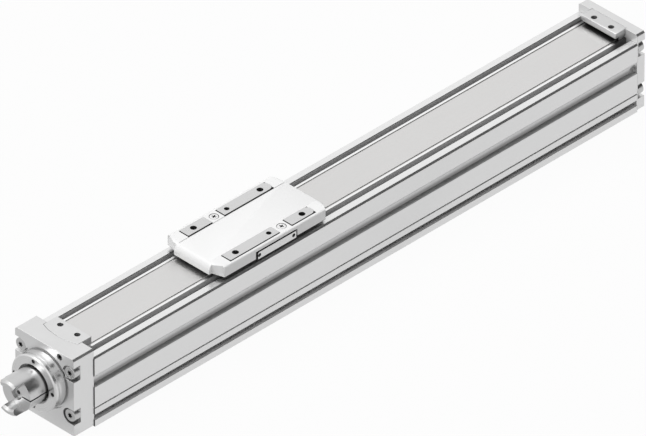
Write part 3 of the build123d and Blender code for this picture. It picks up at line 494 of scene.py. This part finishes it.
def selectWhere(piece, test, kind="VERT"):
    makeActive(piece)
    bpy.ops.object.mode_set(mode="EDIT")
    bpy.ops.mesh.select_mode(type=kind)
    bpy.ops.mesh.select_all(action="DESELECT")
    bpy.ops.object.mode_set(mode="OBJECT")
    if kind == "FACE":
        for face in piece.data.polygons:
            face.select = test(face)
    elif kind == "EDGE":
        points = piece.data.vertices
        for edge in piece.data.edges:
            edge.select = test(points[edge.vertices[0]].co, points[edge.vertices[1]].co)
    else:
        for point in piece.data.vertices:
            point.select = test(point.co)
    bpy.ops.object.mode_set(mode="EDIT")


def objectMode():
    bpy.ops.object.mode_set(mode="OBJECT")


def cutWith(piece, cutter):
    makeActive(piece)
    change = piece.modifiers.new("cut", "BOOLEAN")
    change.operation = "DIFFERENCE"
    change.solver = "EXACT"
    change.use_self = True
    change.material_mode = "TRANSFER"
    change.object = cutter
    bpy.ops.object.modifier_apply(modifier=change.name)
    bpy.data.objects.remove(cutter)


def block(name, low, high, finish):
    middle = [(a + b) / 2 for a, b in zip(low, high)]
    bpy.ops.mesh.primitive_cube_add(size=1, location=middle)
    piece = startPiece(name)
    bpy.ops.transform.resize(value=[b - a for a, b in zip(low, high)])
    piece.data.materials.append(finish)
    return piece


def drillWith(piece, spot, radius, depth, finish, sides, turn=(0, 0, 0)):
    bpy.ops.mesh.primitive_cylinder_add(vertices=sides, radius=radius, depth=2 * depth,
                                        location=spot, rotation=turn)
    drill = startPiece("drill")
    drill.data.materials.append(finish)
    cutWith(piece, drill)


# gives the faces that pass the test the near-black painted-shade material
def paintShadeOn(piece, test):
    piece.data.materials.append(paintedShade)
    dark = len(piece.data.materials) - 1
    for face in piece.data.polygons:
        if test(face):
            face.material_index = dark


def moveWhere(piece, test, step):
    selectWhere(piece, test)
    bpy.ops.transform.translate(value=step)
    objectMode()


def finishPiece(piece, finish, body, nodes=(), angle=35):
    makeActive(piece)
    bpy.ops.object.transform_apply(location=True, rotation=True, scale=True)
    if finish is not None:
        piece.data.materials.clear()
        piece.data.materials.append(finish)
    bpy.ops.object.shade_smooth_by_angle(angle=math.radians(angle))
    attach(piece, body)
    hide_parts(*nodes)
    clearSelection()
    return piece


def copyMesh(piece, name):
    twin = bpy.data.objects.new(name, piece.data.copy())
    bpy.context.scene.collection.objects.link(twin)
    return twin


def copyNode(node, name):
    twin = copyMesh(frame["nodes"][node], name)
    selectWhere(twin, lambda spot: True)
    bpy.ops.mesh.remove_doubles(threshold=0.1 * hair)
    bpy.ops.mesh.customdata_custom_splitnormals_clear()
    objectMode()
    return twin


# surroundings

def makeWorld(settings):
    world = bpy.data.worlds.new("studio")
    bpy.context.scene.world = world
    world.use_nodes = True
    graph = Graph(world.node_tree)
    sky = world.node_tree.nodes["Background"]
    sky.inputs["Color"].default_value = (1, 1, 1, 1)
    seen = graph.ray("Is Camera Ray") + graph.ray("Is Glossy Ray")
    seen = seen + graph.ray("Is Transmission Ray")
    strength = graph.span(seen, settings["sky"], settings["glossySky"])
    graph.feed(sky.inputs["Strength"], strength)


def makeFloor(settings):
    bpy.ops.mesh.primitive_plane_add(size=settings["floorSize"])
    floor = bpy.context.object
    floor.name = "floor"
    paper = Sheet("floorPaper", Base_Color=(settings["floorTone"],) * 3 + (1,), Roughness=0.9)
    toCamera = paper.ray("Is Camera Ray")
    seen = toCamera.maths("MAXIMUM", toCamera, paper.ray("Is Glossy Ray"))
    start, end = settings["frontFall"]
    full = settings["floorWhite"]
    mirrored = paper.span(paper.axis("Y"), settings["frontGloss"], full, Min=start, Max=end)
    white = paper.span(toCamera, mirrored, full)  # the camera itself sees one even white
    glow = paper.node("ShaderNodeEmission", {}, {})
    plain = Wire(paper, paper.shader.outputs[0])
    mixed = paper.node("ShaderNodeMixShader", {}, {0: seen * white, 1: plain, 2: glow})
    paper.feed(paper.tree.nodes["Material Output"].inputs["Surface"], mixed)
    floor.data.materials.append(paper.material)


def makeKeyLight(settings):
    direction = Vector(settings["keyFrom"])
    turn = direction.to_track_quat("Z", "Y").to_euler()
    bpy.ops.object.light_add(type="SUN", rotation=turn, location=settings["keyPlace"])
    key = bpy.context.object
    key.data.energy = settings["keyStrength"]
    key.data.angle = math.radians(settings["keySpread"])


def makeDarkCard(settings):
    direction = Vector(settings["cardFrom"]).normalized()
    turn = direction.to_track_quat("Z", "Y").to_euler()
    bpy.ops.mesh.primitive_circle_add(vertices=48, radius=settings["cardRadius"], fill_type="NGON",
                                      location=direction * settings["cardAway"], rotation=turn)
    card = bpy.context.object
    card.name = "darkCard"
    card.visible_camera = False
    card.visible_diffuse = False
    card.visible_shadow = False
    card.visible_transmission = False
    cloth = Sheet("darkCloth", Roughness=1.0)
    tone = settings["cardTone"]
    weave = cloth.noise(cloth.place(), textureScale["clothWeave"])
    light, dark = (tone,) * 3 + (1,), (tone * 0.8,) * 3 + (1,)
    cloth.set("Base Color", cloth.blend(weave, dark, light))
    card.data.materials.append(cloth.material)


bpy.context.scene.view_settings.view_transform = "Standard"
bpy.ops.object.select_all(action="DESELECT")
makeCamera(view)
makeWorld(light)
makeFloor(light)
makeKeyLight(light)
makeDarkCard(light)
dressNodes()
print("surroundings and finishes made")


# cover strip with deeper lips

coverStrip = {
    "lipFrom": 17.5 * mm,
    "lipDrop": 2.9 * mm,
}


def makeStrip(shape):
    strip = copyNode("cover_strip", "coverStrip")
    low = stripBox[0][2] + 1 * mm
    moveWhere(strip, lambda spot: abs(spot.x) > shape["lipFrom"] and spot.z < low,
              (0, 0, -shape["lipDrop"]))
    finishPiece(strip, rolledStrip, "frame", ["cover_strip"], angle=25)


makeStrip(coverStrip)


# slide cover, drawn in a little at its sides and ends, and its side plates

coverShape = {
    "endZone": 9 * mm,
    "sideZone": 2.5 * mm,
    "cornerZone": 2.9 * mm,
    "tongueDeep": 3 * mm,
    "tongueHalf": 20 * mm,
    "notchFrom": 25.5 * mm,
    "sideIn": 1.6 * mm,
    "cornerOut": 1.4 * mm,
    "plateGap": 1.2 * mm,  # gap around the plates; painted shade on its walls makes the dark line
    "driveEndIn": 1.6 * mm,
    "farEndIn": 2.2 * mm,
    "tongueLeftIn": 3.0 * mm,  # the drive end's tongue stops at the seam on the left
    "tongueRightIn": 0.8 * mm,
    "trench": 0.7 * mm,
    "trenchFloor": 69.0 * mm,
    # across and along
    "screwSeats": ((-21.0 * mm, -103.9 * mm), (21.0 * mm, -78.5 * mm)),
    "seatRadius": 3.65 * mm,
    "seatDepth": 1.4 * mm,
    "padInner": 16.5 * mm,
    "padOuter": 25.6 * mm,
    "pads": ((-1, -42.3 * mm, -18.7 * mm), (-1, -6.3 * mm, 42.0 * mm),
             (1, -42.3 * mm, 6.3 * mm), (1, 18.7 * mm, 42.0 * mm)),
    "plateBack": 26.2 * mm,
    "plateHalf": 21.0 * mm,
    "plateThick": 0.9 * mm,
    "plateCorner": 1.5 * mm,
    "plateScrews": (-16.4 * mm, 17.5 * mm),
    "plateScrewUp": 64.1 * mm,
    "plateHole": 1.5 * mm,
    "plateSink": 0.4 * mm,
    "plateScrewsCad": 17.5 * mm,  # the CAD has them this far from the slide's middle
    "plateScrewSunk": 0.35 * mm,
    "plateSunk": 0.05 * mm,
    "plateFrontIn": 3.12 * mm,
    "plateRearIn": 0.96 * mm,
    "plateTop": 68.0 * mm,
}


def makeSlideCover(shape):
    cover = copyNode("slide_cover", "slideCover")
    low, high = slideBox
    endZone = shape["endZone"]
    sideZone = shape["sideZone"]
    tongueEnd = low[1] + shape["tongueDeep"]
    tongue = shape["tongueHalf"]

    def onTongue(spot, start):
        return spot.y < tongueEnd and start < spot.x < start + 1 * mm

    moveWhere(cover, lambda spot: onTongue(spot, -tongue), (shape["tongueLeftIn"], 0, 0))
    moveWhere(cover, lambda spot: onTongue(spot, tongue - 1 * mm),
              (-shape["tongueRightIn"], 0, 0))
    moveWhere(cover, lambda spot: spot.y < low[1] + endZone, (0, shape["driveEndIn"], 0))
    moveWhere(cover, lambda spot: spot.y > high[1] - endZone, (0, -shape["farEndIn"], 0))
    moveWhere(cover, lambda spot: spot.x > high[0] - sideZone, (-shape["sideIn"], 0, 0))
    moveWhere(cover, lambda spot: spot.x < low[0] + sideZone, (shape["sideIn"], 0, 0))
    outer = high[0] - shape["cornerZone"]
    moveWhere(cover, lambda spot: abs(spot.x) > outer and spot.y < low[1] + endZone,
              (0, -shape["cornerOut"], 0))
    notch = slideMiddle - shape["plateHalf"]
    notchTop = shape["plateTop"] + 3 * near
    moveWhere(cover, lambda spot: abs(spot.x) > shape["notchFrom"] and spot.z < notchTop
              and abs(spot.y - notch) < 4 * near, (0, shape["plateGap"], 0))
    cover.data.materials.clear()
    cover.data.materials.append(whiteCover)
    # the seats, the trenches round the pads and the plate pockets are cut with the painted-shade
    # material, which dresses their cut walls
    for across, along in shape["screwSeats"]:
        drillWith(cover, (across, along, high[2]), shape["seatRadius"], shape["seatDepth"],
                  paintedShade, 48)
    gap = shape["trench"]
    for side, start, end in shape["pads"]:
        left, right = sorted((side * shape["padInner"], side * shape["padOuter"]))
        corner = (left, slideMiddle + start - gap, shape["trenchFloor"])
        opposite = (right + gap, slideMiddle + end, high[2] + 2 * past)
        cutWith(cover, block("trench", corner, opposite, paintedShade))
    pocketStart = notch + shape["plateGap"] - near
    for side in (-1, 1):
        left, right = sorted((side * shape["plateBack"], side * (high[0] + past)))
        opposite = (right, slideMiddle + shape["plateHalf"], shape["plateTop"])
        corner = (left, pocketStart, low[2] - past)
        cutWith(cover, block("pocket", corner, opposite, paintedShade))
    finishPiece(cover, None, "carriage", ["slide_cover"], angle=32)


def makeSidePlates(shape):
    front = slideMiddle - shape["plateHalf"] + shape["plateFrontIn"]
    rear = slideMiddle + shape["plateHalf"] - shape["plateRearIn"]
    top = shape["plateTop"] - shape["plateGap"]
    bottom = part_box("side_plate_left")[0][2]
    outer = slideBox[1][0] - shape["sideIn"] - shape["plateSunk"]
    for side, name in ((-1, "left"), (1, "right")):
        left, right = sorted((side * outer, side * (outer - shape["plateThick"])))
        plate = block("sidePlate." + name, (left, front, bottom), (right, rear, top),
                      punchedPlate)
        bpy.ops.object.transform_apply(location=True, rotation=True, scale=True)
        selectWhere(plate, lambda a, b: abs(a.x - b.x) > 0.5 * mm
                    and min(a.z, b.z) > top - hair, "EDGE")
        bpy.ops.mesh.bevel(offset=shape["plateCorner"], segments=6)
        objectMode()
        # painted shade on the plate's edges and in its screw holes, which makes the dark line
        # round it
        paintShadeOn(plate, lambda face: abs(face.normal.x) < 0.5)
        for place in shape["plateScrews"]:
            spot = (side * outer, slideMiddle + place, shape["plateScrewUp"])
            drillWith(plate, spot, shape["plateHole"], shape["plateSink"], paintedShade, 32,
                      (0, math.pi / 2, 0))
        finishPiece(plate, None, "carriage", ["side_plate_" + name])
    screws = copyNode("side_plate_screws", "sidePlateScrews")
    drop = shape["plateScrewUp"] - sum(corner[2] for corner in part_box("side_plate_screws")) / 2
    inward = shape["sideIn"] + shape["plateScrewSunk"]
    moveWhere(screws, lambda spot: spot.x > 0, (-inward, 0, drop))
    moveWhere(screws, lambda spot: spot.x < 0, (inward, 0, drop))
    for place, half in zip(shape["plateScrews"], (-1, 1)):
        step = place - half * shape["plateScrewsCad"]
        moveWhere(screws, lambda spot: (spot.y - slideMiddle) * half > 0, (0, step, 0))
    finishPiece(screws, blackScrewAndRecessShade, "carriage", ["side_plate_screws"])


makeSlideCover(coverShape)
makeSidePlates(coverShape)
print("slide cover and side plates made")


# cover screws with a crossed recess

coverScrew = {
    "radius": 3.3 * mm,
    "height": 1.35 * mm,
    "rim": 0.35 * mm,
    "slotLength": 3.5 * mm,
    "slotWidth": 1.05 * mm,
    "slotDepth": 1.0 * mm,
    "slotCutter": 1.1 * mm,  # the cutter stands out above the head
    "slotTurns": (math.radians(20), math.radians(110)),
    "places": coverShape["screwSeats"],
    "top": 70.8 * mm,
}


def makeCoverScrews(shape):
    first, second = shape["places"]
    middle = Vector(first + (shape["top"] - shape["height"] / 2,))
    bpy.ops.mesh.primitive_cylinder_add(vertices=48, radius=shape["radius"], depth=shape["height"],
                                        location=middle)
    head = startPiece("coverScrew.0")
    bpy.ops.object.transform_apply(location=True, rotation=True, scale=True)
    rimHeight = shape["top"] - hair
    selectWhere(head, lambda a, b: a.z > rimHeight and b.z > rimHeight, "EDGE")
    bpy.ops.mesh.bevel(offset=shape["rim"], segments=3)
    objectMode()
    head.data.materials.append(whiteScrew)
    slotMiddle = first + (shape["top"] - shape["slotDepth"] / 2,)
    size = (shape["slotLength"], shape["slotWidth"], shape["slotCutter"])
    for turn in shape["slotTurns"]:
        bpy.ops.mesh.primitive_cube_add(size=1, location=slotMiddle, rotation=(0, 0, turn))
        slot = startPiece("slotCutter")
        bpy.ops.transform.resize(value=size, orient_type="LOCAL")
        # painted shade: the crossed recess takes the cutter's black material
        slot.data.materials.append(blackScrewAndRecessShade)
        cutWith(head, slot)
    twin = copyMesh(head, "coverScrew.1")
    twin.location = (second[0] - first[0], second[1] - first[1], 0)
    for piece in (head, twin):
        finishPiece(piece, None, "carriage")
    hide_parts("slide_cover_screws")


makeCoverScrews(coverScrew)
print("cover screws made")


# cap screws with a six-lobe recess

capScrew = {
    "radius": 5.0 * mm,
    "length": 5.9 * mm,
    "rim": 0.5 * mm,
    "lobeCircle": 1.55 * mm,
    "lobeRadius": 0.6 * mm,
    "coreRadius": 1.5 * mm,
    "recessDepth": 2.6 * mm,
    "across": 24.5 * mm,
    "heights": (16.5 * mm, 53.0 * mm),
    "driveFront": -291.0 * mm,
    "farFront": 279.2 * mm,
}


def makeCapScrewHead(shape):
    upright = (math.pi / 2, 0, 0)
    bpy.ops.mesh.primitive_cylinder_add(vertices=64, radius=shape["radius"], depth=shape["length"],
                                        location=(0, shape["length"] / 2, 0), rotation=upright)
    head = startPiece("capScrew")
    bpy.ops.object.transform_apply(location=True, rotation=True, scale=True)
    selectWhere(head, lambda a, b: a.y < hair and b.y < hair, "EDGE")
    bpy.ops.mesh.bevel(offset=shape["rim"], segments=3)
    objectMode()
    head.data.materials.append(zincSteel)
    rods = [(0, 0, shape["coreRadius"])]
    reach = shape["lobeCircle"]
    for step in range(6):
        angle = math.radians(60 * step)
        place = (math.cos(angle) * reach, math.sin(angle) * reach)
        rods.append(place + (shape["lobeRadius"],))
    # painted shade: the six-lobe recess gets a darker steel on its cut walls
    for across, up, radius in rods:
        drillWith(head, (across, 0, up), radius, shape["recessDepth"], recessShadeSteel, 24, upright)
    return head


def makeCapScrews(shape):
    head = makeCapScrewHead(shape)
    ends = (("drive", shape["driveFront"], 0), ("far", shape["farFront"], math.pi))
    for end, front, turn in ends:
        made = []
        for side in (-1, 1):
            for up in shape["heights"]:
                twin = copyMesh(head, "capScrew.%s.%d" % (end, len(made)))
                twin.rotation_euler = (0, 0, turn)
                twin.location = (side * shape["across"], front, up)
                made.append(finishPiece(twin, None, "frame"))
        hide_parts(end + "_cap_screws")
    bpy.data.objects.remove(head)


makeCapScrews(capScrew)
print("cap screws made")


# far strip clamp, raised off the strip at its front edge

farClamp = {
    "half": 17.1 * mm,
    "front": 262.4 * mm,
    "rear": 273.6 * mm,
    "underside": 61.9 * mm,
    "top": 66.3 * mm,
    "footEdge": 0.4 * mm,
    "footInset": 3.2 * mm,
    "stripTop": 59.1 * mm,
    "holeRadius": 2.3 * mm,
    "holeAcross": 8.5 * mm,
    "holeAlong": 266.6 * mm,
    "holeDepth": 4.1 * mm,
    "edge": 0.25 * mm,
}


def makeFarClamp(shape):
    clamp = block("farClamp", (-shape["half"], shape["front"], shape["underside"]),
                  (shape["half"], shape["rear"], shape["top"]), farClampMetal)
    bpy.ops.object.transform_apply(location=True, rotation=True, scale=True)
    rear = shape["rear"] - near
    upper = shape["top"] - hair
    selectWhere(clamp, lambda a, b: min(a.z, b.z) > upper and min(a.y, b.y) < rear, "EDGE")
    bpy.ops.mesh.bevel(offset=shape["edge"], segments=2)
    objectMode()
    selectWhere(clamp, lambda face: face.normal.z < -0.9, "FACE")
    bpy.ops.mesh.inset(thickness=shape["footEdge"])
    objectMode()
    front = shape["front"]
    under = shape["underside"] + hair
    moveWhere(clamp, lambda spot: spot.z < under and front + near < spot.y < front + 1 * mm,
              (0, shape["footInset"], 0))
    footFrom = front + shape["footInset"] + 1 * mm
    selectWhere(clamp, lambda face: face.normal.z < -0.9 and abs(face.center.x) < near
                and face.center.y > footFrom, "FACE")
    bpy.ops.mesh.extrude_region_move(
        TRANSFORM_OT_translate={"value": (0, 0, shape["stripTop"] - shape["underside"])})
    objectMode()
    # painted shade on the faces in the gap under the clamp's front
    gapTop = shape["underside"] + near
    paintShadeOn(clamp, lambda face: face.center.z < gapTop
              and (abs(face.normal.y) > 0.5 or face.normal.z < -0.5))
    for side in (-1, 1):
        spot = (side * shape["holeAcross"], shape["holeAlong"], shape["top"])
        drillWith(clamp, spot, shape["holeRadius"], shape["holeDepth"], farClampMetal, 40)
    finishPiece(clamp, None, "frame", ["far_strip_clamp"])


makeFarClamp(farClamp)
print("far clamp made")
